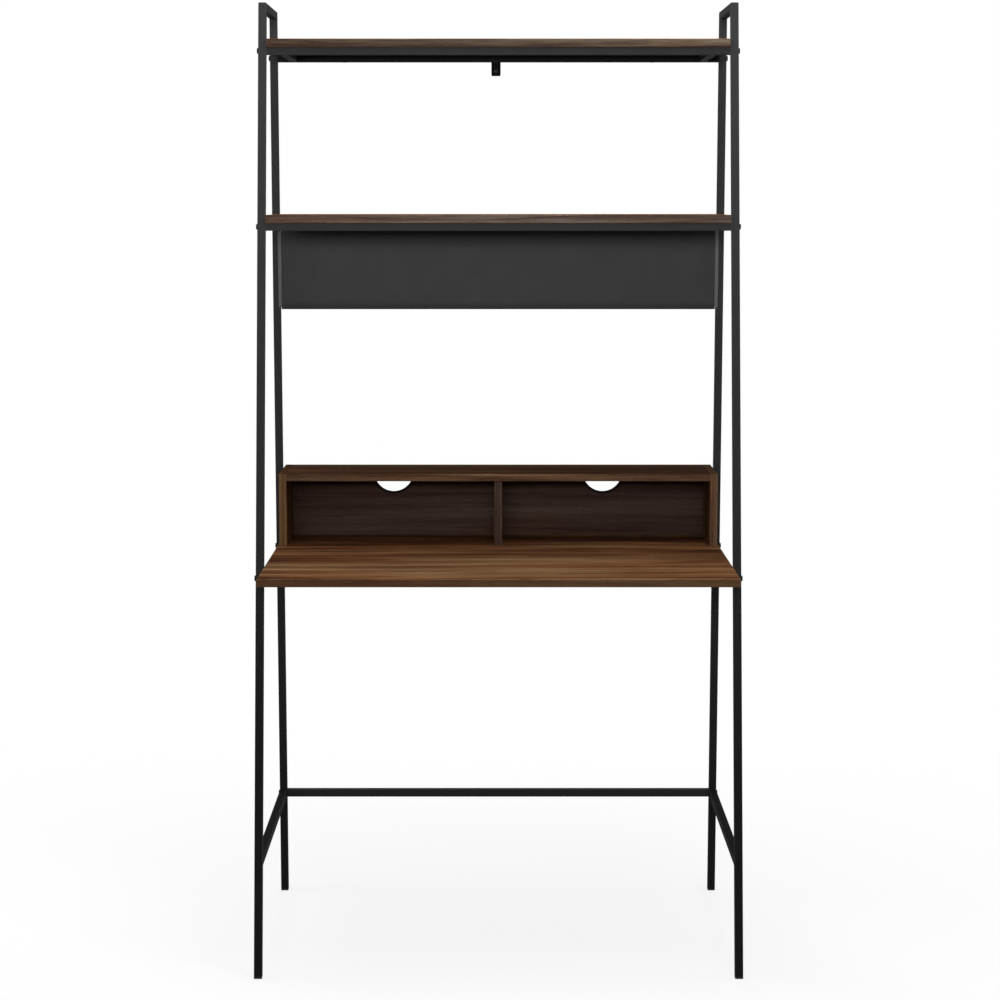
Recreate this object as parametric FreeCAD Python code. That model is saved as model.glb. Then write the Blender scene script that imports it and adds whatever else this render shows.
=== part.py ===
"""Ladder desk with a low hutch: two leaning side frames of square steel tube, a desk and two
shelves bolted between them, a folded sheet panel under the middle shelf and a wall bracket.

Millimetres. X runs across, Y from the front towards the wall, Z up from the floor. The origin
is on the floor, midway between the side frames and midway between the wall and the front feet.
"""
import FreeCAD
import Part
import math
import os

from FreeCAD import Vector

# Overall frame
frame_width = 914.0             # over the outer faces of the legs
frame_depth = 508.0             # wall plane to the front of the front feet
front_leg_top_depth = 205.0     # wall plane to the front leg's front face at the very top

# Levels, each measured from the one below it
stretcher_height = 218.0        # floor to the top of the lower stretchers
desk_height = 758.0             # floor to the desk top
mid_shelf_rise = 657.0          # desk top to the top of the middle shelf
top_shelf_rise = 332.0          # middle shelf to the top of the top shelf
frame_rise = 69.0               # top shelf to the top of the side frames

# Square steel tube
tube_size = 15.0
tube_wall = 1.2
tube_corner_bevel = 1.0         # outer corners, in place of a tight round

# Plastic feet in the ends of the legs
foot_flange = 3.0
foot_plug_length = 18.0

# Laminated boards
board_thickness = 15.0
board_edge_bevel = 0.6
board_leg_clearance = 1.0       # end of a board to the leg beside it
shelf_overhang = 3.0            # front edge of a shelf past its front rail
side_rail_gap = 5.0             # side rail to the hutch side above, room for screws from below

# Hutch on the desk
hutch_depth = 145.0
hutch_height = 145.0
hutch_leg_clearance = 5.0       # outside of the hutch to the inside of the rear legs
hutch_back_thickness = 12.0
hutch_divider_setback = 5.0
cable_notch_radius = 40.0

# Folded sheet panel under the middle shelf
panel_height = 162.0
panel_sheet = 1.2
panel_lip_lap = 3.7             # side lip over the front of the rear leg
panel_leg_clearance = 1.9       # step beside the lip to the inside of the rear leg
panel_recess = 2.0              # main face behind the lips
panel_flange = 12.0             # top and bottom edges folded towards the wall
panel_bend_radius = 2.0         # outside of the fold
panel_lip_relief = 4.5          # lips stop short of the folded edges
panel_lip_round = 0.8

# Wall bracket under the rear rail of the top shelf
bracket_width = 18.6
bracket_drop = 27.0             # below the rail
bracket_sheet = 2.0
bracket_bend_radius = 3.5       # outside of the fold
bracket_corner_radius = 3.0
bracket_offset = -4.5           # middle of the bracket from the middle of the rail
wall_hole_radius = 2.25
wall_hole_edge = 10.0           # lower end of the bracket to the wall hole

# Frame bolts and the threaded plugs in the rail ends
bolt_radius = 3.0
bolt_bite = 12.0                # thread inside the plug
bolt_head_radius = 5.5
bolt_head_height = 2.8
bolt_socket_radius = 2.3        # over the corners of the hex socket
bolt_socket_depth = 1.8
plug_length = 14.0

# Fits
bolt_hole_clearance = 0.25
thread_clearance = 0.05
plug_clearance = 0.1
cut_overrun = 2.0

# Shares of the sizes that they follow
parallel_share = 1e-4           # drift within which edges count as parallel or points as one

# Worked out from the sizes above
frame_height = desk_height + mid_shelf_rise + top_shelf_rise + frame_rise
half_width = frame_width / 2
inner_half = half_width - tube_size
wall_y = frame_depth / 2
front_y = -frame_depth / 2
rear_leg_y = wall_y - tube_size
leg_lean = (frame_depth - front_leg_top_depth) / frame_height
lean_stretch = math.sqrt(1 + leg_lean ** 2)
board_half = inner_half - board_leg_clearance
hutch_half = inner_half - hutch_leg_clearance
hutch_front_y = wall_y - hutch_depth
hutch_top_z = desk_height + hutch_height
hutch_roof_z = hutch_top_z - board_thickness
hutch_back_y = wall_y - hutch_back_thickness
bay_half = hutch_half - board_thickness
side_rail_outer = hutch_half - board_thickness - side_rail_gap
mid_shelf_height = desk_height + mid_shelf_rise
top_shelf_height = mid_shelf_height + top_shelf_rise
panel_top = mid_shelf_height - board_thickness - tube_size
panel_bottom = panel_top - panel_height
bracket_top = top_shelf_height - board_thickness - tube_size

across = Vector(1, 0, 0)
backward = Vector(0, 1, 0)
upward = Vector(0, 0, 1)
sides = {"left": -1, "right": 1}
pieces = {}


def leg_front(z):
    """Front face of the leaning front leg at height z."""
    return front_y + leg_lean * z


def leg_back(z):
    """Back face of the leaning front leg at height z."""
    return leg_front(z) + tube_size * lean_stretch


def leg_middle(z):
    """Middle of the leaning front leg at height z."""
    return (leg_front(z) + leg_back(z)) / 2


def rear_leg_front(z):
    """Front face of the upright rear leg, the same at every height."""
    return rear_leg_y


def rear_leg_back(z):
    """Back face of the upright rear leg, in the wall plane."""
    return wall_y


def side_low_x(side):
    """Lower X of a tube in the left or right side frame."""
    return -half_width if side < 0 else inner_half


def rail_middle(top_z):
    """Height of the middle of the rails under a board whose top is at top_z."""
    return top_z - board_thickness - tube_size / 2


def prism(corners, sweep):
    """Solid swept along a vector from a closed outline."""
    return Part.Face(Part.makePolygon(corners + corners[:1])).extrude(sweep)


def side_prism(outline, low_x, width):
    """Prism across X from an outline of (y, z) corners."""
    return prism([Vector(low_x, y, z) for y, z in outline], across * width)


def box(low, high):
    """Box between two corners given as (x, y, z)."""
    size = Vector(*high) - Vector(*low)
    return Part.makeBox(size.x, size.y, size.z, Vector(*low))


def hole(point, direction, radius, length):
    """Cylinder from a point along a direction."""
    return Part.makeCylinder(radius, length, point, direction)


def parallel_edges(solid, direction):
    """Straight edges of a solid that run along a direction."""
    unit = Vector(direction).normalize()
    found = []
    for edge in solid.Edges:
        run = edge.Vertexes[-1].Point - edge.Vertexes[0].Point
        if run.Length and run.cross(unit).Length < run.Length * parallel_share:
            found.append(edge)
    return found


def inset_edge(edge, other):
    """Long edge of a tube's outline moved in by the wall and run past both ends of the tube."""
    start = Vector(0, *edge[0])
    end = Vector(0, *edge[1])
    along = (end - start).normalize()
    inward = Vector(0, *other[0]) - start
    inward = (inward - along * inward.dot(along)).normalize()
    start = start + inward * tube_wall - along * tube_size
    end = end + inward * tube_wall + along * tube_size
    return [(start.y, start.z), (end.y, end.z)]


def side_tube(edge, other, low_x):
    """Hollow square tube in a side frame, between two long edges given by their (y, z) ends."""
    along = Vector(0, *edge[1]) - Vector(0, *edge[0])
    outer = side_prism(edge + other[::-1], low_x, tube_size)
    outer = outer.makeChamfer(tube_corner_bevel, parallel_edges(outer, along))
    inner = inset_edge(edge, other) + inset_edge(other, edge)[::-1]
    return outer.cut(side_prism(inner, low_x + tube_wall, tube_size - 2 * tube_wall))


def cross_tube(middle_y, middle_z):
    """Hollow square tube across the desk, between the inner faces of the legs."""
    half = tube_size / 2
    bore_half = half - tube_wall
    outer = box((-inner_half, middle_y - half, middle_z - half),
                (inner_half, middle_y + half, middle_z + half))
    outer = outer.makeChamfer(tube_corner_bevel, parallel_edges(outer, across))
    reach = inner_half + cut_overrun
    return outer.cut(box((-reach, middle_y - bore_half, middle_z - bore_half),
                         (reach, middle_y + bore_half, middle_z + bore_half)))


def board(low, high):
    """Laminated board with its edges eased along X and Y."""
    blank = box(low, high)
    eased = parallel_edges(blank, across) + parallel_edges(blank, backward)
    return blank.makeChamfer(board_edge_bevel, eased)


def upright(low, high):
    """Standing laminated board with its edges eased along Y and Z."""
    blank = box(low, high)
    eased = parallel_edges(blank, upward) + parallel_edges(blank, backward)
    return blank.makeChamfer(board_edge_bevel, eased)


def bolt(seat, direction, length):
    """Flat head with a hex socket, and a plain shank that runs from the seat along a direction."""
    under_head = upward * -bolt_head_height
    head = Part.makeCylinder(bolt_head_radius, bolt_head_height, under_head)
    flats = [math.tau * step / 6 for step in range(6)]
    socket = [under_head + Vector(math.cos(turn), math.sin(turn), 0) * bolt_socket_radius for turn in flats]
    solid = head.fuse(Part.makeCylinder(bolt_radius, length)).cut(prism(socket, upward * bolt_socket_depth))
    solid.Placement = FreeCAD.Placement(seat, FreeCAD.Rotation(upward, direction))
    return solid


def rail_bolts(spots):
    """Bolts from both sides into rail ends, with their threaded plugs, at (y, z) spots."""
    bolts = []
    plugs = []
    plug_half = tube_size / 2 - tube_wall - plug_clearance
    for side in sides.values():
        inward = across * -side
        for y, z in spots:
            bolts.append(bolt(Vector(side * half_width, y, z), inward, tube_size + bolt_bite))
            ends = sorted((side * inner_half, side * (inner_half - plug_length)))
            plug = box((ends[0], y - plug_half, z - plug_half), (ends[1], y + plug_half, z + plug_half))
            mouth = Vector(side * (inner_half + cut_overrun), y, z)
            plugs.append(plug.cut(hole(mouth, inward, bolt_radius + thread_clearance,
                                       plug_length + 2 * cut_overrun)))
    return Part.makeCompound(bolts), Part.makeCompound(plugs)


def shelf(name, top_z, front_edge=None):
    """Board on a ring of four rails, bolted between the legs.

    front_edge is the Y of the board's front, which follows the front leg if it isn't given.
    """
    half = tube_size / 2
    rail_z = rail_middle(top_z)
    front_mid = leg_middle(rail_z)
    rear_mid = wall_y - half
    if front_edge is None:
        front_edge = front_mid - half - shelf_overhang
    pieces[name + "_board"] = board((-board_half, front_edge, rail_z + half), (board_half, wall_y, top_z))
    pieces[name + "_front_rail"] = cross_tube(front_mid, rail_z)
    pieces[name + "_rear_rail"] = cross_tube(rear_mid, rail_z)
    ends = (front_mid + half, rear_mid - half)
    for side_name, side in sides.items():
        low_x = side_rail_outer - tube_size if side > 0 else -side_rail_outer
        pieces[name + "_side_rail_" + side_name] = side_tube([(y, rail_z - half) for y in ends],
                                                             [(y, rail_z + half) for y in ends], low_x)
    bolts, plugs = rail_bolts([(front_mid, rail_z), (rear_mid, rail_z)])
    pieces[name + "_bolts"] = bolts
    pieces[name + "_rail_plugs"] = plugs


def foot(front, back, stretch, low_x):
    """Plastic foot: a flange under the leg and a plug that fills the end of the tube."""
    inset = tube_wall + plug_clearance
    top = foot_flange + foot_plug_length
    flange = side_prism([(front(0), 0), (back(0), 0), (back(foot_flange), foot_flange),
                         (front(foot_flange), foot_flange)], low_x, tube_size)
    lean = Vector(0, front(foot_flange) - front(0), foot_flange)
    flange = flange.makeChamfer(tube_corner_bevel, parallel_edges(flange, lean))
    skin = inset * stretch
    plug = side_prism([(front(foot_flange) + skin, foot_flange),
                       (back(foot_flange) - skin, foot_flange),
                       (back(top) - skin, top), (front(top) + skin, top)],
                      low_x + inset, tube_size - 2 * inset)
    return flange.fuse(plug).removeSplitter()


def side_frame(side_name, side):
    """One side frame: leaning front leg, rear leg, mitred top bar, lower stretcher and feet."""
    low_x = side_low_x(side)
    under_top = frame_height - tube_size
    front_leg = side_tube([(leg_front(foot_flange), foot_flange), (leg_front(frame_height), frame_height)],
                          [(leg_back(foot_flange), foot_flange), (leg_back(under_top), under_top)], low_x)
    rear_leg = side_tube([(rear_leg_y, foot_flange), (rear_leg_y, under_top)],
                         [(wall_y, foot_flange), (wall_y, frame_height)], low_x)
    top_bar = side_tube([(leg_front(frame_height), frame_height), (wall_y, frame_height)],
                        [(leg_back(under_top), under_top), (rear_leg_y, under_top)], low_x)
    stretcher_low = stretcher_height - tube_size
    stretcher = side_tube([(leg_back(stretcher_low), stretcher_low), (rear_leg_y, stretcher_low)],
                          [(leg_back(stretcher_height), stretcher_height), (rear_leg_y, stretcher_height)],
                          low_x)
    rear_mid = wall_y - tube_size / 2
    start_x = low_x - cut_overrun
    length = tube_size + 2 * cut_overrun
    bore = bolt_radius + bolt_hole_clearance
    for top_z in (desk_height, mid_shelf_height, top_shelf_height):
        z = rail_middle(top_z)
        front_leg = front_leg.cut(hole(Vector(start_x, leg_middle(z), z), across, bore, length))
        rear_leg = rear_leg.cut(hole(Vector(start_x, rear_mid, z), across, bore, length))
    stretcher_mid = stretcher_height - tube_size / 2
    rear_leg = rear_leg.cut(hole(Vector(start_x, rear_mid, stretcher_mid), across, bore, length))
    pieces["front_leg_" + side_name] = front_leg
    pieces["rear_leg_" + side_name] = rear_leg
    pieces["top_bar_" + side_name] = top_bar
    pieces["side_stretcher_" + side_name] = stretcher
    pieces["front_foot_" + side_name] = foot(leg_front, leg_back, lean_stretch, low_x)
    pieces["rear_foot_" + side_name] = foot(rear_leg_front, rear_leg_back, 1, low_x)


def back_stretcher():
    """Lower tube between the rear legs, bolted like the rails."""
    middle = (wall_y - tube_size / 2, stretcher_height - tube_size / 2)
    pieces["back_stretcher"] = cross_tube(*middle)
    pieces["stretcher_bolts"], pieces["stretcher_plugs"] = rail_bolts([middle])


def back_panel():
    """Folded sheet under the middle shelf: a shallow channel whose side lips lap the rear legs."""
    lip_y = rear_leg_y - panel_sheet
    face_y = lip_y + panel_recess
    flange_y = face_y + panel_flange
    step_out = inner_half - panel_leg_clearance
    step_in = step_out - panel_sheet
    lip_x = inner_half + panel_lip_lap
    channel = side_prism([(face_y, panel_bottom), (flange_y, panel_bottom),
                          (flange_y, panel_bottom + panel_sheet),
                          (face_y + panel_sheet, panel_bottom + panel_sheet),
                          (face_y + panel_sheet, panel_top - panel_sheet),
                          (flange_y, panel_top - panel_sheet),
                          (flange_y, panel_top), (face_y, panel_top)], -step_out, 2 * step_out)
    folds = {face_y: panel_bend_radius, face_y + panel_sheet: panel_bend_radius - panel_sheet}
    for fold_y, radius in folds.items():
        edges = [edge for edge in parallel_edges(channel, across)
                 if abs(edge.Vertexes[0].Y - fold_y) < panel_sheet * parallel_share]
        channel = channel.makeFillet(radius, edges)
    lip_low = panel_bottom + panel_lip_relief
    lip_rise = upward * (panel_height - 2 * panel_lip_relief)
    for side in sides.values():
        plan = [(step_in, lip_y), (lip_x, lip_y), (lip_x, rear_leg_y), (step_out, rear_leg_y),
                (step_out, face_y + panel_sheet), (step_in, face_y + panel_sheet)]
        lip = prism([Vector(side * x, y, lip_low) for x, y in plan], lip_rise)
        rounded = [edge for edge in parallel_edges(lip, upward)
                   if (edge.Vertexes[0].Point - Vector(side * step_in, lip_y, edge.Vertexes[0].Z)).Length
                   < panel_sheet * parallel_share]
        channel = channel.fuse(lip.makeFillet(panel_lip_round, rounded))
    pieces["back_panel"] = channel.removeSplitter()


def wall_bracket():
    """Angle under the rear rail of the top shelf, with a hole for a screw into the wall."""
    low_z = bracket_top - bracket_drop
    low_x = bracket_offset - bracket_width / 2
    inner_y = wall_y - bracket_sheet
    under_z = bracket_top - bracket_sheet
    angle = side_prism([(wall_y, low_z), (wall_y, bracket_top), (rear_leg_y, bracket_top),
                        (rear_leg_y, under_z), (inner_y, under_z), (inner_y, low_z)],
                       low_x, bracket_width)
    for corner, radius in (((wall_y, bracket_top), bracket_bend_radius),
                           ((inner_y, under_z), bracket_bend_radius - bracket_sheet)):
        spot = Vector(0, *corner)
        edges = [edge for edge in parallel_edges(angle, across)
                 if (edge.Vertexes[0].Point - Vector(edge.Vertexes[0].X, spot.y, spot.z)).Length
                 < bracket_sheet * parallel_share]
        angle = angle.makeFillet(radius, edges)
    tips = [edge for edge in parallel_edges(angle, backward)
            if abs(edge.Vertexes[0].Z - low_z) < bracket_sheet * parallel_share]
    angle = angle.makeFillet(bracket_corner_radius, tips)
    wall_hole = Vector(bracket_offset, inner_y - cut_overrun, low_z + wall_hole_edge)
    pieces["wall_bracket"] = angle.cut(hole(wall_hole, backward, wall_hole_radius,
                                            bracket_sheet + 2 * cut_overrun))


def hutch():
    """Two open bays: sides, top between them, divider and a back with two cable notches."""
    pieces["hutch_top"] = board((-bay_half, hutch_front_y, hutch_roof_z), (bay_half, wall_y, hutch_top_z))
    for side_name, side in sides.items():
        ends = sorted((side * bay_half, side * hutch_half))
        pieces["hutch_side_" + side_name] = upright((ends[0], hutch_front_y, desk_height),
                                                    (ends[1], wall_y, hutch_top_z))
    half_board = board_thickness / 2
    pieces["hutch_divider"] = upright((-half_board, hutch_front_y + hutch_divider_setback, desk_height),
                                      (half_board, hutch_back_y, hutch_roof_z))
    back = box((-bay_half, hutch_back_y, desk_height), (bay_half, wall_y, hutch_roof_z))
    for side in sides.values():
        notch = Vector(side * (bay_half + half_board) / 2, hutch_back_y - cut_overrun, hutch_roof_z)
        back = back.cut(hole(notch, backward, cable_notch_radius, hutch_back_thickness + 2 * cut_overrun))
    pieces["hutch_back"] = back


for side_name, side in sides.items():
    side_frame(side_name, side)
back_stretcher()
shelf("desk", desk_height, front_y)
shelf("mid_shelf", mid_shelf_height)
shelf("top_shelf", top_shelf_height)
back_panel()
wall_bracket()
hutch()

os.makedirs("parts", exist_ok=True)
for name, shape in pieces.items():
    shape.exportStep("parts/" + name + ".step")
print(len(pieces), "nodes,", sum(len(shape.Solids) for shape in pieces.values()), "solids")
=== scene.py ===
import math

import bpy
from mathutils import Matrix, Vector


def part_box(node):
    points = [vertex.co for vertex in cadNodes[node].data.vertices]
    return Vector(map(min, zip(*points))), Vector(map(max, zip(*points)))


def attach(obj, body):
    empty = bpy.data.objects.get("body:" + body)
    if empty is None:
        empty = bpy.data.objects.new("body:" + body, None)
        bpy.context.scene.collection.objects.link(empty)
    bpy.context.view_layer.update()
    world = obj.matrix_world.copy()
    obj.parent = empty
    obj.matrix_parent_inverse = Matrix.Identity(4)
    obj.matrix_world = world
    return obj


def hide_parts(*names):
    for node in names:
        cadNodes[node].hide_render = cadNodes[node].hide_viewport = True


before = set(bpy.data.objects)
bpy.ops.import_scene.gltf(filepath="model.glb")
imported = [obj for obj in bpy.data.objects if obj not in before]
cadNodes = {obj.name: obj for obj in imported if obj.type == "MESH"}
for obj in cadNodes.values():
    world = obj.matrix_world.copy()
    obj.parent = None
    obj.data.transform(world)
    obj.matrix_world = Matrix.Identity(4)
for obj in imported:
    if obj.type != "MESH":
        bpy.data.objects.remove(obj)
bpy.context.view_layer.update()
print("frame loaded,", len(cadNodes), "nodes")


def pick(sockets, key):
    if isinstance(key, int):
        return sockets[key]
    return next(socket for socket in sockets if key in (socket.identifier, socket.name))


class Wire:  # a node's output; sums written with it become Math nodes
    def __init__(self, kit, socket):
        self.kit = kit
        self.socket = socket

    def __add__(self, other):
        return self.kit.calc("ADD", self, other)

    def __sub__(self, other):
        return self.kit.calc("SUBTRACT", self, other)

    def __rsub__(self, other):
        return self.kit.calc("SUBTRACT", other, self)

    def __mul__(self, other):
        return self.kit.calc("MULTIPLY", self, other)

    def __truediv__(self, other):
        return self.kit.calc("DIVIDE", self, other)

    def __pow__(self, other):
        return self.kit.calc("POWER", self, other)

    __radd__ = __add__
    __rmul__ = __mul__


class NodeKit:  # one node tree, for a finish, the world or a piece
    def __init__(self, tree):
        self.tree = tree

    def node(self, kind, settings=None, sockets=None, out=0):
        made = self.tree.nodes.new(kind)
        for key, value in (settings or {}).items():
            if key == "stops":
                ramp = made.color_ramp
                while len(ramp.elements) < len(value):
                    ramp.elements.new(1.0)
                for element, (place, colour) in zip(ramp.elements, value):
                    element.position = place
                    element.color = (*colour, 1)
            else:
                setattr(made, key, value)
        for key, value in (sockets or {}).items():
            socket = pick(made.inputs, key)
            items = value if isinstance(value, list) else [value]    # a list is several wires
            for item in items:
                if isinstance(item, Wire):
                    self.tree.links.new(item.socket, socket)
                else:
                    socket.default_value = item
        return Wire(self, pick(made.outputs, out)) if made.outputs else None

    def outputs(self, wire, keys):  # other outputs of the node that a wire comes from
        return [Wire(self, pick(wire.socket.node.outputs, key)) for key in keys]

    def calc(self, operation, *values):
        return self.node("ShaderNodeMath", {"operation": operation}, dict(enumerate(values)))

    def least(self, a, b):
        return self.calc("MINIMUM", a, b)

    def most(self, a, b):
        return self.calc("MAXIMUM", a, b)

    def rise(self, value, low, high):  # 0 below low, 1 above high, smooth between
        return self.node("ShaderNodeMapRange", {"interpolation_type": "SMOOTHSTEP"},
                         {"Value": value, "From Min": low, "From Max": high})

    def parts(self, vector):
        return self.outputs(self.node("ShaderNodeSeparateXYZ", {}, {0: vector}), range(3))

    def joined(self, parts):
        return self.node("ShaderNodeCombineXYZ", {}, dict(enumerate(parts)))

    def either(self, share, a, b):
        return self.node("ShaderNodeMix", {"data_type": "VECTOR"},
                         {"Factor_Float": share, "A_Vector": a, "B_Vector": b}, "Result_Vector")

    def blend(self, share, a, b, how="MIX"):
        a, b = [(*side, 1) if isinstance(side, tuple) else side for side in (a, b)]
        return self.node("ShaderNodeMix", {"data_type": "RGBA", "blend_type": how},
                         {"Factor_Float": share, "A_Color": a, "B_Color": b}, "Result_Color")

    def times(self, colour, other):
        return self.blend(1.0, colour, other, "MULTIPLY")

    def grey(self, value):
        return self.node("ShaderNodeCombineColor", {}, {0: value, 1: value, 2: value})

    def coords(self):
        return self.node("ShaderNodeTexCoord", {}, {}, "Object")

    def noise(self, vector, look, seed=1.0):
        offset = tuple(part * seed for part in look["offset"])
        moved = self.node("ShaderNodeMapping", {},
                          {"Vector": vector, "Location": offset, "Scale": look["size"]})
        return self.node("ShaderNodeTexNoise", {},
                         {"Vector": moved, "Scale": 1.0, "Detail": look["detail"],
                          "Roughness": look.get("rough", 0.5), "Distortion": look.get("bend", 0.0)})

    def bump(self, height, depth, strength):
        return self.node("ShaderNodeBump", {},
                         {"Height": height, "Distance": depth, "Strength": strength})

    def corner(self, spot, low, high):  # distance from the nearest edge of a box, on its faces
        gaps = [self.least(at - a, b - at) for at, a, b in zip(spot, low, high)]
        wide = self.most(gaps[0], gaps[1])
        return self.most(self.least(gaps[0], gaps[1]), self.least(wide, gaps[2]))

    def surface(self, sockets):
        shader = self.node("ShaderNodeBsdfPrincipled", {}, sockets)
        self.node("ShaderNodeOutputMaterial", {}, {"Surface": shader})

    def cylinder(self, sides, radius, depth, rings=1):
        return self.node("GeometryNodeMeshCylinder", {"fill_type": "NGON"},
                         {"Vertices": sides, "Side Segments": rings, "Radius": radius, "Depth": depth})

    def lifted(self, mesh, up):
        return self.node("GeometryNodeTransform", {},
                         {"Geometry": mesh, "Translation": self.joined([0.0, 0.0, up])})


noiseMean = 0.5


def newFinish(name):
    material = bpy.data.materials.new(name)
    material.use_nodes = True
    material.node_tree.nodes.clear()
    return material, NodeKit(material.node_tree)


def paint(node, material):
    slots = cadNodes[node].data.materials
    slots.clear()
    slots.append(material)


def boxOf(node):
    low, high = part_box(node)
    return tuple(low), tuple(high)


def middleOf(node):
    return [(a + b) / 2 for a, b in zip(*boxOf(node))]


def addObject(name, data):
    made = bpy.data.objects.new(name, data)
    bpy.context.scene.collection.objects.link(made)
    return made


# dark walnut laminate on every board, streaks along the length

walnut = {    # sizes are repeats per metre along, across and through the board
    "stops": [(0.36, (0.026, 0.010, 0.006)), (0.43, (0.060, 0.024, 0.011)),
              (0.50, (0.108, 0.048, 0.020)), (0.57, (0.160, 0.080, 0.034)),
              (0.64, (0.225, 0.128, 0.062))],
    "bands": {"size": (0.9, 15.0, 15.0), "offset": (1, 2, 1), "detail": 3.0, "rough": 0.55, "bend": 0.9},
    "figure": {"size": (2.4, 62.0, 62.0), "offset": (1, 0, 3), "detail": 4.0, "rough": 0.6, "bend": 0.9},
    "fibres": {"size": (18.0, 620.0, 620.0), "offset": (0, 1, 1), "detail": 2.0, "rough": 0.6},
    "bandShare": 0.48,
    "figureShare": 0.34,
    "fibreShare": 0.18,
    "rings": 58.0,                     # growth rings per metre across the board
    "ringBend": {"size": (0.8, 5.0, 5.0), "offset": (1, 0, 1), "detail": 2.0},
    "ringSway": 7.0,                   # rings that the bend pushes aside
    "ringPower": 3.0,                  # higher puts the dark line later in a ring
    "ringDepth": 0.055,
    "drift": {"size": (1.6, 9.0, 9.0), "offset": (1, 1, 0), "detail": 2.0},
    "driftLevels": (0.36, 0.62),       # slow change between reddish and golden wood
    "reddish": (1.07, 0.95, 0.89),
    "golden": (0.97, 1.02, 1.03),
    "pores": {"size": (85.0, 1700.0, 1700.0), "offset": (1, 1, 0), "detail": 1.0},
    "poreLevels": (0.60, 0.68),
    "poreShade": 0.35,
    "poreDepth": 0.00012,
    "fibreRise": 0.4,                  # height of the fibres, in depths of a pore
    "bumpStrength": 0.6,
    "rubbing": {"size": (30.0, 90.0, 90.0), "offset": (1, 0, 0), "detail": 3.0},
    "rubLevels": (0.35, 0.60),
    "rubbedAndLit": (0.20, 0.125, 0.075),    # worn corner of the banding, with a painted highlight
    "edgeReach": (0.00042, 0.0014),
    "roughness": 0.70,
    "fibreRough": 0.20,
    "poreRough": 0.12,
    "rubPolish": 0.10,
    "gloss": 0.002,
    "endSkin": (0.0003, 0.0006),       # depth at which the band on an end stops
    "faceSkin": (0.0005, 0.0009),      # depth at which a face or the front band stops
}
# along: grain direction first; seed: place in the pattern; streaks: their strength; rub: worn corners with
# a painted highlight;
# face, edge: tints of the faces and the front edge, which paint each board's light and shade; calm:
# plainer streaks on the front edge;
# cap: painted shade on an upper end; rear: tint of the wall side, paler than the painted shade on the
# front
boards = {
    "desk_board": {"along": "xyz", "seed": 13.7, "streaks": 1.35, "rubAndHighlight": 0.60, "calm": 0.65,
                   "face": (0.83, 0.85, 0.88), "edge": (0.93, 1.14, 1.46)},
    "mid_shelf_board": {"along": "xyz", "seed": 13.7, "streaks": 1.0, "rubAndHighlight": 0.10,
                        "face": (0.95, 0.97, 1.01), "edge": (0.53, 0.80, 1.48)},
    "top_shelf_board": {"along": "xyz", "seed": 3.1, "streaks": 1.0, "rubAndHighlight": 0.10,
                        "face": (0.95, 0.97, 1.01), "edge": (0.50, 0.77, 1.28)},
    # painted shadow: the hutch top's face is darkened for the mid shelf's shadow
    "hutch_top": {"along": "xyz", "seed": 11.4, "streaks": 0.9, "rubAndHighlight": 0.10,
                  "face": (0.47, 0.48, 0.50), "edge": (0.86, 1.12, 1.50)},
    # painted shade: the hutch back's front face is darkened for the shade inside the hutch
    "hutch_back": {"along": "xyz", "seed": 21.7, "streaks": 0.5, "rubAndHighlight": 0.10,
                   "face": (0.355, 0.47, 0.89), "edge": (0.32, 0.40, 0.55),
                   "rear": (0.62, 0.67, 0.80)},
    "hutch_side_left": {"along": "zyx", "seed": 29.8, "streaks": 0.9, "rubAndHighlight": 0.20,
                        "face": (0.76, 0.80, 0.90), "edge": (0.82, 1.05, 1.20),
                        "cap": (0.47, 0.48, 0.51)},
    "hutch_side_right": {"along": "zyx", "seed": 34.1, "streaks": 0.9, "rubAndHighlight": 0.20,
                         "face": (0.76, 0.80, 0.90), "edge": (0.96, 1.16, 1.60),
                         "cap": (0.47, 0.48, 0.51)},
    # painted shade: the divider is darkened for the shade inside the hutch
    "hutch_divider": {"along": "zyx", "seed": 41.5, "streaks": 0.9, "rubAndHighlight": 0.10,
                      "face": (0.60, 0.65, 0.75), "edge": (0.36, 0.47, 0.90)},
}
notch = {"x": 0.21475, "radius": 0.040, "shadeBand": 0.0024, "soft": 0.0024, "tone": (0.006, 0.005, 0.005)}


def paintNotchShade(kit, spot, top, colour):  # painted shade: a near-black band around the rim of the two cable notches
    reach = notch["radius"] + notch["shadeBand"]
    across = kit.calc("ABSOLUTE", spot[0]) - notch["x"]
    down = spot[2] - top
    away = (across * across + down * down) ** 0.5
    shadeBand = 1 - kit.rise(away, reach, reach + notch["soft"])
    return kit.blend(shadeBand, colour, notch["tone"])


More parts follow.
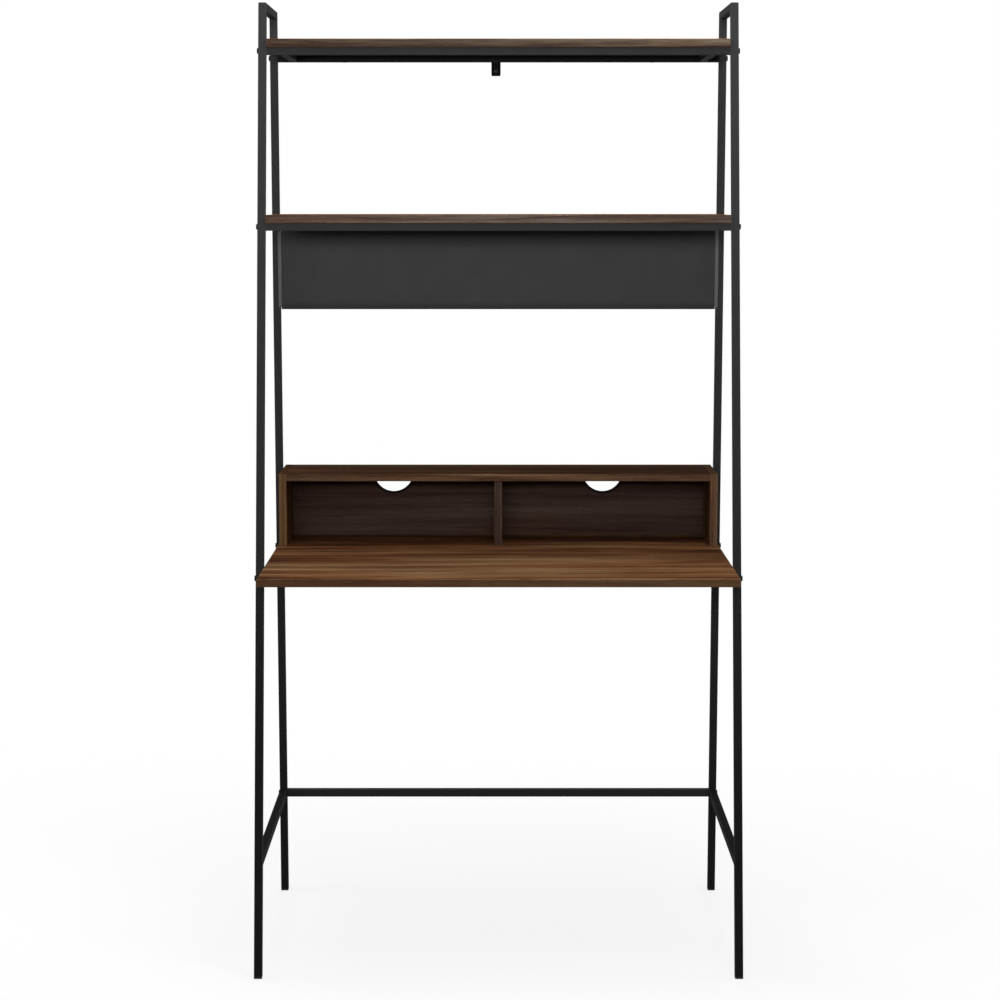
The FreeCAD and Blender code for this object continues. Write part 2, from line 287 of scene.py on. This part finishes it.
def woodFinish(node, board):
    material, kit = newFinish("walnut_" + node)
    spot = kit.parts(kit.coords())
    low, high = boxOf(node)
    axes = ["xyz".index(axis) for axis in board["along"]]
    along, across, through = [spot[axis] for axis in axes]
    end = axes[0]
    inset = kit.least(along - low[end], high[end] - along)
    faces = kit.rise(inset, *walnut["endSkin"])    # 0 on the two end bands, whose grain runs across
    straight = kit.joined([along, across, through])
    turned = kit.joined([across, along, through])
    grain = kit.either(faces, turned, straight)
    across, through = kit.parts(grain)[1:]

    def layer(name):
        return kit.noise(grain, walnut[name], board["seed"])

    bands = layer("bands")
    figure = layer("figure")
    fibres = layer("fibres")
    pores = kit.rise(layer("pores"), *walnut["poreLevels"])
    ring = (across + through) * walnut["rings"] + layer("ringBend") * walnut["ringSway"]
    ring = kit.calc("FRACT", ring) ** walnut["ringPower"]
    ringMean = 1 / (walnut["ringPower"] + 1)
    streak = bands * walnut["bandShare"] + figure * walnut["figureShare"] + fibres * walnut["fibreShare"]
    streak = streak + (ringMean - ring) * walnut["ringDepth"]
    skin = walnut["faceSkin"]
    thin = min(range(3), key=lambda axis: high[axis] - low[axis])
    inside = kit.least(spot[thin] - low[thin], high[thin] - spot[thin])
    banded = kit.rise(inside, *skin) * (1 - kit.rise(spot[1] - low[1], *skin))    # 1 on the front edge
    strength = board["streaks"] * (1 - banded * board.get("calm", 0.0))
    streak = (streak - noiseMean) * strength + noiseMean
    colour = kit.node("ShaderNodeValToRGB", {"stops": walnut["stops"]}, {"Fac": streak}, "Color")
    drift = kit.rise(layer("drift"), *walnut["driftLevels"])
    colour = kit.times(colour, kit.blend(drift, walnut["reddish"], walnut["golden"]))
    colour = kit.times(colour, kit.grey(1 - pores * walnut["poreShade"]))
    # painted light and shade: board tints on the faces, the front edge, an upper end and the wall side
    tint = kit.blend(banded, board["face"], board["edge"])
    for key, axis in (("cap", 2), ("rear", 1)):
        if key in board:
            outer = kit.rise(spot[axis], high[axis] - skin[1], high[axis] - skin[0])
            tint = kit.blend(outer, tint, board[key])
    colour = kit.times(colour, tint)
    # worn corners with a painted highlight, strongest on the desk's front
    rubbedAndLit = 1 - kit.rise(kit.corner(spot, low, high), *walnut["edgeReach"])
    rubbedAndLit = rubbedAndLit * kit.rise(layer("rubbing"), *walnut["rubLevels"])
    colour = kit.blend(rubbedAndLit * board["rubAndHighlight"], colour, walnut["rubbedAndLit"])
    if node == "hutch_back":
        colour = paintNotchShade(kit, spot, high[2], colour)
    roughness = walnut["roughness"] + (fibres - noiseMean) * walnut["fibreRough"]
    height = fibres * walnut["fibreRise"] - pores
    kit.surface({
        "Base Color": colour,
        "Roughness": roughness + pores * walnut["poreRough"] - rubbedAndLit * walnut["rubPolish"],
        "Specular IOR Level": walnut["gloss"],
        "Normal": kit.bump(height, walnut["poreDepth"], walnut["bumpStrength"]),
    })
    paint(node, material)


for node, board in boards.items():
    woodFinish(node, board)
print("walnut on", len(boards), "boards")


# powder coat on tubes, bracket and panel: orange peel, a soft mottle, thin wear on edges with a painted
# highlight, and painted shade on some parts

powder = {    # what every colour of the coat shares; sizes are repeats per metre
    "peel": {"size": (620.0, 620.0, 620.0), "offset": (3, 1, 2), "detail": 2.0},
    "mottle": {"size": (22.0, 22.0, 22.0), "offset": (7, 4, 1), "detail": 4.0, "rough": 0.6},
    "scuffs": {"size": (45.0, 45.0, 45.0), "offset": (2, 9, 5), "detail": 4.0, "rough": 0.6},
    "scuffLevels": (0.36, 0.66),
    "evenEdgeHighlight": 0.35,          # painted highlight on an edge where nothing has scuffed it
    "edgeStart": 0.25,         # full wear, as a share of the edge's reach
    "wearHighlightShare": 0.8,
    "mottleSwing": 0.28,
    "mottleRough": 0.18,
    "peelRough": 0.10,
    "wornPolish": 0.08,
    "peelDepth": 0.00004,
    "bumpStrength": 0.5,
}
blackCoat = {
    "tone": (0.0228, 0.0228, 0.0232),
    "wearAndHighlight": (0.040, 0.040, 0.041),
    "roughness": 0.58,
    "gloss": 0.003,
    "edgeReach": 0.0016,
}
# painted shade: the bracket's tab is made near black for the shade under the shelf
shadedTabCoat = dict(blackCoat, tone=(0.004, 0.004, 0.004), wearAndHighlight=(0.010, 0.010, 0.010))
panelCoat = {
    "tone": (0.0352, 0.0352, 0.0356),
    "wearAndHighlight": (0.105, 0.105, 0.108),
    "roughness": 0.56,
    "gloss": 0.01,
    "edgeReach": 0.0012,
    "lipInset": 0.0070,        # painted highlight on the lips at the two ends
    "lipSoft": 0.0007,
    "lipHighlightShare": 0.9,
    "hemReach": 0.020,         # painted shade: the sheet darkens towards its lower fold
    "hemPower": 1.5,
    "hemPaintedShade": 0.50,
}
frameTubes = {
    "words": ("_leg_", "top_bar", "stretcher", "_rail"),
    "hardware": ("_plugs", "_bolts"),
    "lean": 0.16685,           # run of the front legs for each unit of rise
    "paintedLightAndShade": {"top_shelf_front_rail": 0.80, "top_shelf_rear_rail": 0.60, "side_rail": 0.60,
               "side_stretcher": 0.56, "back_stretcher": 1.80, "rear_leg": 1.12},    # painted shade below 1, painted light above 1
}


def coatFinish(node, coat, lean=0.0, depth=1.0):
    material, kit = newFinish("coat_" + node)
    coords = kit.coords()
    spot = kit.parts(coords)
    low, high = boxOf(node)
    if lean:    # a box that leans with the leg
        spot = [spot[0], spot[1] - spot[2] * lean, spot[2]]
        low, high = [(x, y - z * lean, z) for x, y, z in (low, high)]
    peel = kit.noise(coords, powder["peel"])
    mottle = kit.noise(coords, powder["mottle"])
    scuffs = kit.rise(kit.noise(coords, powder["scuffs"]), *powder["scuffLevels"])
    reach = coat["edgeReach"]
    # edges: scuffed wear plus a painted highlight along every edge
    wearAndHighlight = 1 - kit.rise(kit.corner(spot, low, high), reach * powder["edgeStart"], reach)
    wearAndHighlight = wearAndHighlight * (powder["evenEdgeHighlight"] + scuffs * (1 - powder["evenEdgeHighlight"]))
    # painted highlight on the lips, in the colour of the worn edges
    if "lipInset" in coat:
        inner = high[0] - coat["lipInset"]
        lip = kit.rise(kit.calc("ABSOLUTE", spot[0]), inner, inner + coat["lipSoft"])
        wearAndHighlight = kit.most(wearAndHighlight, lip * coat["lipHighlightShare"])
    # the coat's own mottle, times depth, which is painted shade below 1 and painted light above 1
    mottleAndPaintedShading = (1 + (mottle - noiseMean) * powder["mottleSwing"]) * depth
    # painted shade darkening the panel towards its lower fold
    if "hemReach" in coat:
        hem = kit.most(1 - (spot[2] - low[2]) / coat["hemReach"], 0.0)
        mottleAndPaintedShading = mottleAndPaintedShading * (1 - hem ** coat["hemPower"] * coat["hemPaintedShade"])
    colour = kit.times(coat["tone"], kit.grey(mottleAndPaintedShading))
    roughness = coat["roughness"] + (mottle - noiseMean) * powder["mottleRough"]
    roughness = roughness + (peel - noiseMean) * powder["peelRough"]
    kit.surface({
        "Base Color": kit.blend(wearAndHighlight * powder["wearHighlightShare"], colour, coat["wearAndHighlight"]),
        "Roughness": roughness - wearAndHighlight * powder["wornPolish"],
        "Specular IOR Level": coat["gloss"],
        "Normal": kit.bump(peel, powder["peelDepth"], powder["bumpStrength"]),
    })
    paint(node, material)


tubes = [node for node in cadNodes if any(word in node for word in frameTubes["words"])
         and not node.endswith(frameTubes["hardware"])]
for node in tubes:
    # painted shade on the darker tubes, painted light on the paler back stretcher and rear legs
    depth = next((depth for part, depth in frameTubes["paintedLightAndShade"].items() if part in node), 1.0)
    coatFinish(node, blackCoat, frameTubes["lean"] if node.startswith("front_leg") else 0.0, depth)
coatFinish("wall_bracket", shadedTabCoat)
coatFinish("back_panel", panelCoat)
print("powder coat on", len(tubes) + 2, "nodes")


# moulded feet, zinc plugs and the black oxide of the fasteners: fine grain and broad marks

footPlastic = {
    "tone": (0.012, 0.012, 0.012),
    "marked": (0.030, 0.030, 0.029),
    "marks": {"size": (120.0, 120.0, 400.0), "offset": (4, 4, 4), "detail": 4.0, "rough": 0.7},
    "markLevels": (0.50, 0.68),
    "markShare": 0.7,
    "markRough": 0.10,
    "grain": {"size": (1500.0, 1500.0, 1500.0), "offset": (1, 2, 3), "detail": 3.0, "rough": 0.6},
    "grainRough": 0.20,
    "grainDepth": 0.00003,
    "bumpStrength": 0.6,
    "roughness": 0.62,
    "metal": 0.0,
    "gloss": 0.35,
}
zincPlate = {
    "tone": (0.52, 0.53, 0.54),
    "marked": (0.30, 0.30, 0.29),
    "marks": {"size": (240.0, 240.0, 240.0), "offset": (6, 1, 2), "detail": 4.0, "rough": 0.6},
    "markLevels": (0.38, 0.66),
    "markShare": 1.0,
    "markRough": 0.12,
    "grain": {"size": (900.0, 900.0, 900.0), "offset": (5, 2, 8), "detail": 3.0, "rough": 0.6},
    "grainRough": 0.18,
    "grainDepth": 0.00002,
    "bumpStrength": 0.5,
    "roughness": 0.34,
    "metal": 1.0,
    "gloss": 0.5,
}
oxideGrain = dict(zincPlate["grain"], size=(1400.0, 1400.0, 1400.0))
blackOxide = dict(zincPlate, tone=(0.015, 0.015, 0.0155), marked=(0.009, 0.009, 0.009), grain=oxideGrain,
                  roughness=0.50, metal=0.05, gloss=0.06)


def hardFinish(name, look):
    material, kit = newFinish(name)
    coords = kit.coords()
    grain = kit.noise(coords, look["grain"])
    marks = kit.rise(kit.noise(coords, look["marks"]), *look["markLevels"])
    roughness = look["roughness"] + (grain - noiseMean) * look["grainRough"]
    kit.surface({
        "Base Color": kit.blend(marks * look["markShare"], look["tone"], look["marked"]),
        "Metallic": look["metal"],
        "Roughness": roughness + marks * look["markRough"],
        "Specular IOR Level": look["gloss"],
        "Normal": kit.bump(grain, look["grainDepth"], look["bumpStrength"]),
    })
    return material


footMaterial = hardFinish("foot_plastic", footPlastic)
zincMaterial = hardFinish("zinc_plate", zincPlate)
oxideMaterial = hardFinish("black_oxide", blackOxide)
for node in cadNodes:
    if "_foot_" in node:
        paint(node, footMaterial)
    elif node.endswith("_plugs"):
        paint(node, zincMaterial)
print("feet and plugs finished")


# bolts and screws, one tree for each kind of drive, set on the points of a small mesh

drives = {"hex": "hexBolt", "cross": "crossScrew"}
sizeInputs = ["Head Radius", "Head Height", "Edge Pull", "Drive Radius", "Drive Depth", "Shank Radius",
              "Shank Length", "Axis Turn", "Side Turn", "Front Turn"]
fastenerMesh = {
    "headSides": 36,
    "headRings": 9,
    "rimPower": 5.0,           # higher keeps the rounding nearer the rim
    "hexSides": 6,
    "slotWidth": 0.5,          # of a cross, in drive radii
    "driveProud": 0.0005,      # the cutter stands out of the head
    "shankSides": 20,
    "overlap": 0.0002,         # of shank and head
    "spinSeed": 4,
    "smoothAngle": 32,
}


def fastenerTree(kind):
    tree = bpy.data.node_groups.new(drives[kind], "GeometryNodeTree")
    tree.is_modifier = True
    face = tree.interface
    face.new_socket("Geometry", in_out="INPUT", socket_type="NodeSocketGeometry")
    for name in sizeInputs:
        face.new_socket(name, in_out="INPUT", socket_type="NodeSocketFloat")
    face.new_socket("Finish", in_out="INPUT", socket_type="NodeSocketMaterial")
    face.new_socket("Geometry", in_out="OUTPUT", socket_type="NodeSocketGeometry")
    kit = NodeKit(tree)
    names = ["Geometry", "Finish", *sizeInputs]
    size = dict(zip(names, kit.outputs(kit.node("NodeGroupInput"), names)))
    height = size["Head Height"]
    head = kit.cylinder(fastenerMesh["headSides"], size["Head Radius"], height, fastenerMesh["headRings"])
    x, y, z = kit.parts(kit.node("GeometryNodeInputPosition"))
    share = z / height + 0.5    # 0 under the head, 1 on top
    pulled = 1 - size["Edge Pull"] * share ** fastenerMesh["rimPower"]
    head = kit.node("GeometryNodeSetPosition", {},
                    {"Geometry": head, "Position": kit.joined([x * pulled, y * pulled, z])})
    head = kit.lifted(head, height / 2)
    radius = size["Drive Radius"]
    depth = size["Drive Depth"]
    proud = fastenerMesh["driveProud"]
    deep = depth + 2 * proud
    if kind == "hex":
        cutters = [kit.cylinder(fastenerMesh["hexSides"], radius, deep)]
    else:
        long = radius * 2
        slim = radius * fastenerMesh["slotWidth"]
        cutters = [kit.node("GeometryNodeMeshCube", {}, {"Size": kit.joined([a, b, deep])})
                   for a, b in ((long, slim), (slim, long))]
    for cutter in cutters:
        sunk = kit.lifted(cutter, height - depth / 2 + proud)
        head = kit.node("GeometryNodeMeshBoolean", {"operation": "DIFFERENCE", "solver": "EXACT"},
                        {"Mesh 1": head, "Mesh 2": sunk})
    length = size["Shank Length"]
    overlap = fastenerMesh["overlap"]
    shank = kit.cylinder(fastenerMesh["shankSides"], size["Shank Radius"], length + 2 * overlap)
    shank = kit.lifted(shank, overlap - length / 2)
    whole = kit.node("GeometryNodeMeshBoolean", {"operation": "UNION", "solver": "EXACT"},
                     {"Mesh 2": [head, shank]})
    side = kit.calc("SIGN", x) * size["Side Turn"] + size["Axis Turn"]
    spots = kit.node("GeometryNodeInstanceOnPoints", {},
                     {"Points": size["Geometry"], "Instance": whole,
                      "Rotation": kit.joined([size["Front Turn"], side, 0.0])})
    spin = kit.node("FunctionNodeRandomValue", {"data_type": "FLOAT"},
                    {"Min_001": 0.0, "Max_001": math.tau, "Seed": fastenerMesh["spinSeed"]}, "Value_001")
    spots = kit.node("GeometryNodeRotateInstances", {},
                     {"Instances": spots, "Rotation": kit.joined([0.0, 0.0, spin]), "Local Space": True})
    plain = kit.node("GeometryNodeRealizeInstances", {}, {0: spots})
    coated = kit.node("GeometryNodeSetMaterial", {}, {"Geometry": plain, "Material": size["Finish"]})
    kit.node("NodeGroupOutput", {}, {"Geometry": coated})
    return tree


trees = {kind: fastenerTree(kind) for kind in drives}


def setFasteners(name, kind, sizes, spots):
    mesh = bpy.data.meshes.new(name)
    mesh.from_pydata(spots, [], [])
    piece = addObject(name, mesh)
    modifier = piece.modifiers.new("fasteners", "NODES")
    modifier.node_group = trees[kind]
    values = dict(sizes, Finish=oxideMaterial)
    for item in trees[kind].interface.items_tree:
        if item.in_out == "INPUT" and item.name in values:
            modifier[item.identifier] = values[item.name]
    graph = bpy.context.evaluated_depsgraph_get()
    made = bpy.data.meshes.new_from_object(piece.evaluated_get(graph), depsgraph=graph)
    made.name = name
    piece.modifiers.clear()
    piece.data = made
    made.set_sharp_from_angle(angle=math.radians(fastenerMesh["smoothAngle"]))
    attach(piece, "root")
    return piece


frameBolt = {"Head Radius": 0.0055, "Head Height": 0.0028, "Edge Pull": 0.20, "Drive Radius": 0.0023,
             "Drive Depth": 0.0018, "Shank Radius": 0.0030, "Shank Length": 0.0270,
             "Axis Turn": 0.0, "Side Turn": math.pi / 2, "Front Turn": 0.0}
for node in ("desk_bolts", "mid_shelf_bolts", "top_shelf_bolts", "stretcher_bolts"):
    low, high = boxOf(node)
    middle = middleOf(node)
    radius = frameBolt["Head Radius"]
    seat = high[0] - frameBolt["Head Height"]
    rows = [low[1] + radius, high[1] - radius]
    if rows[1] - rows[0] < radius:    # a single bolt on each side
        rows = [middle[1]]
    spots = [(side * seat, row, middle[2]) for side in (-1, 1) for row in rows]
    bolts = setFasteners(node.replace("bolts", "socket_bolts"), "hex", frameBolt, spots)
    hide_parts(node)
print("socket bolts set")

panScrew = {"Head Radius": 0.0036, "Head Height": 0.0022, "Edge Pull": 0.38, "Drive Radius": 0.0020,
            "Drive Depth": 0.0012, "Shank Radius": 0.0016, "Shank Length": 0.0020,
            "Axis Turn": math.pi, "Side Turn": 0.0, "Front Turn": 0.0}
flatScrew = dict(panScrew, **{"Head Height": 0.0006, "Drive Depth": 0.0005, "Edge Pull": 0.12})
baseScrew = dict(panScrew, **{"Head Height": 0.0010, "Drive Depth": 0.0008, "Edge Pull": 0.12})
wallScrew = dict(panScrew, **{"Head Radius": 0.0038, "Shank Radius": 0.0021, "Axis Turn": 0.0,
                              "Front Turn": math.pi / 2})
screwPlaces = {
    "boardX": 0.3087,
    "panelX": 0.1764,
    "panelSheet": 0.0012,
    "bracketSheet": 0.002,
    "wallHoleUp": 0.010,           # above the lower end of the tab
    "hutchRows": (0.25, 0.68),     # shares of the hutch's depth
}
flange = boxOf("back_panel")[1][2] - screwPlaces["panelSheet"]    # underside of the panel's flange
spots = []
for shelf in ("desk", "mid_shelf", "top_shelf"):
    for rail in (shelf + "_front_rail", shelf + "_rear_rail"):
        under = flange if rail == "mid_shelf_rear_rail" else boxOf(rail)[0][2]
        spots += [(side * screwPlaces["boardX"], middleOf(rail)[1], under) for side in (-1, 1)]
setFasteners("board_screws", "cross", flatScrew, spots)

row = middleOf("mid_shelf_rear_rail")[1]
spots = [(side * screwPlaces["panelX"], row, flange) for side in (-1, 0, 1)]
setFasteners("panel_screws", "cross", panScrew, spots)

low, high = boxOf("wall_bracket")
tabX, tabY = middleOf("wall_bracket")[:2]
sheet = screwPlaces["bracketSheet"]
setFasteners("bracket_screw", "cross", flatScrew, [(tabX, tabY, high[2] - sheet)])
wallSpot = (tabX, high[1] - sheet, low[2] + screwPlaces["wallHoleUp"])
setFasteners("wall_screw", "cross", wallScrew, [wallSpot])

low, high = boxOf("hutch_side_right")
sideX = middleOf("hutch_side_right")[0]
under = boxOf("desk_board")[0][2]
spots = [(side * sideX, low[1] + (high[1] - low[1]) * share, under)
         for side in (-1, 0, 1) for share in screwPlaces["hutchRows"]]
setFasteners("hutch_screws", "cross", baseScrew, spots)
print("screws set")


# floor, light and camera

studio = {
    "ambient": 0.41,
    "floorHalf": 12.0,
    "floorTone": 0.95,
    "floorBounce": 0.22,       # what the floor throws back at the desk
    "shadowShare": 0.20,       # how much of the shadow the camera sees on the floor
    "shadowReach": (0.7, 1.9),
}
lamps = {    # spread is the grid on the softbox, in degrees; mirrored lamps show in reflections
    "keyLamp": {"place": (-0.05, -0.2, 2.75), "aim": (0, -0.12, 1.2), "size": (2.0, 0.35),
                "power": 38, "spread": 180, "mirrored": True},
    "frontLamp": {"place": (-0.25, -3.4, 1.73), "aim": (-0.08, 0, 1.80), "size": (2.4, 0.45),
                  "power": 17.4, "spread": 52, "mirrored": True},
    "backLamp": {"place": (0, 2.9, 1.0), "aim": (0, 0, 0.9), "size": (2.2, 1.2),
                 "power": 32, "spread": 180, "mirrored": False},
    "leftLamp": {"place": (-2.7, 0.1, 1.0), "aim": (0, 0.1, 1.0), "size": (1.0, 1.8),
                 "power": 20, "spread": 180, "mirrored": True},
    "rightLamp": {"place": (2.7, 0.1, 1.0), "aim": (0, 0.1, 1.0), "size": (1.0, 1.8),
                  "power": 20, "spread": 180, "mirrored": True},
}
view = {"place": (-0.0084, -3.8955, 1.4391), "pitch": 0.12627, "lens": 73.155, "sensor": 36.0,
        "shift": (0.00596, -0.04)}


def seenDirectly(kit):
    path = kit.node("ShaderNodeLightPath")
    camera, glossy, through = kit.outputs(path, ("Is Camera Ray", "Is Glossy Ray", "Is Transmission Ray"))
    return kit.most(kit.most(camera, glossy), through)


world = bpy.data.worlds.new("studio")
bpy.context.scene.world = world
world.use_nodes = True
world.node_tree.nodes.clear()
kit = NodeKit(world.node_tree)
strength = studio["ambient"] + seenDirectly(kit) * (1 - studio["ambient"])
sky = kit.node("ShaderNodeBackground", {}, {"Color": (1, 1, 1, 1), "Strength": strength})
kit.node("ShaderNodeOutputWorld", {}, {"Surface": sky})

material, kit = newFinish("studio_floor")
spot = kit.parts(kit.coords())
away = (spot[0] * spot[0] + spot[1] * spot[1]) ** 0.5
near = 1 - kit.rise(away, *studio["shadowReach"])
seen = seenDirectly(kit)
tone = studio["floorBounce"] + seen * (studio["floorTone"] - studio["floorBounce"])
matt = kit.node("ShaderNodeBsdfDiffuse", {}, {"Color": kit.grey(tone)})
white = kit.node("ShaderNodeEmission", {}, {"Color": (1, 1, 1, 1), "Strength": 1.0})
share = seen * (1 - near * studio["shadowShare"])
mixed = kit.node("ShaderNodeMixShader", {}, {0: share, 1: matt, 2: white})
kit.node("ShaderNodeOutputMaterial", {}, {"Surface": mixed})
half = studio["floorHalf"]
mesh = bpy.data.meshes.new("floor")
mesh.from_pydata([(-half, -half, 0), (half, -half, 0), (half, half, 0), (-half, half, 0)], [],
                 [(0, 1, 2, 3)])
mesh.materials.append(material)
floor = addObject("floor", mesh)

for name, lamp in lamps.items():
    light = bpy.data.lights.new(name, "AREA")
    light.shape = "RECTANGLE"
    light.size, light.size_y = lamp["size"]
    light.energy = lamp["power"]
    light.spread = math.radians(lamp["spread"])
    held = addObject(name, light)
    held.location = lamp["place"]
    facing = Vector(lamp["aim"]) - Vector(lamp["place"])
    held.rotation_euler = facing.to_track_quat("-Z", "Y").to_euler()
    held.visible_camera = False
    held.visible_glossy = lamp["mirrored"]

lens = bpy.data.cameras.new("camera")
lens.lens = view["lens"]
lens.sensor_width = view["sensor"]
lens.shift_x, lens.shift_y = view["shift"]
camera = addObject("camera", lens)
camera.location = view["place"]
camera.rotation_euler = (math.pi / 2 - view["pitch"], 0.0, 0.0)
bpy.context.scene.camera = camera
bpy.context.scene.view_settings.view_transform = "Standard"
print("studio set")
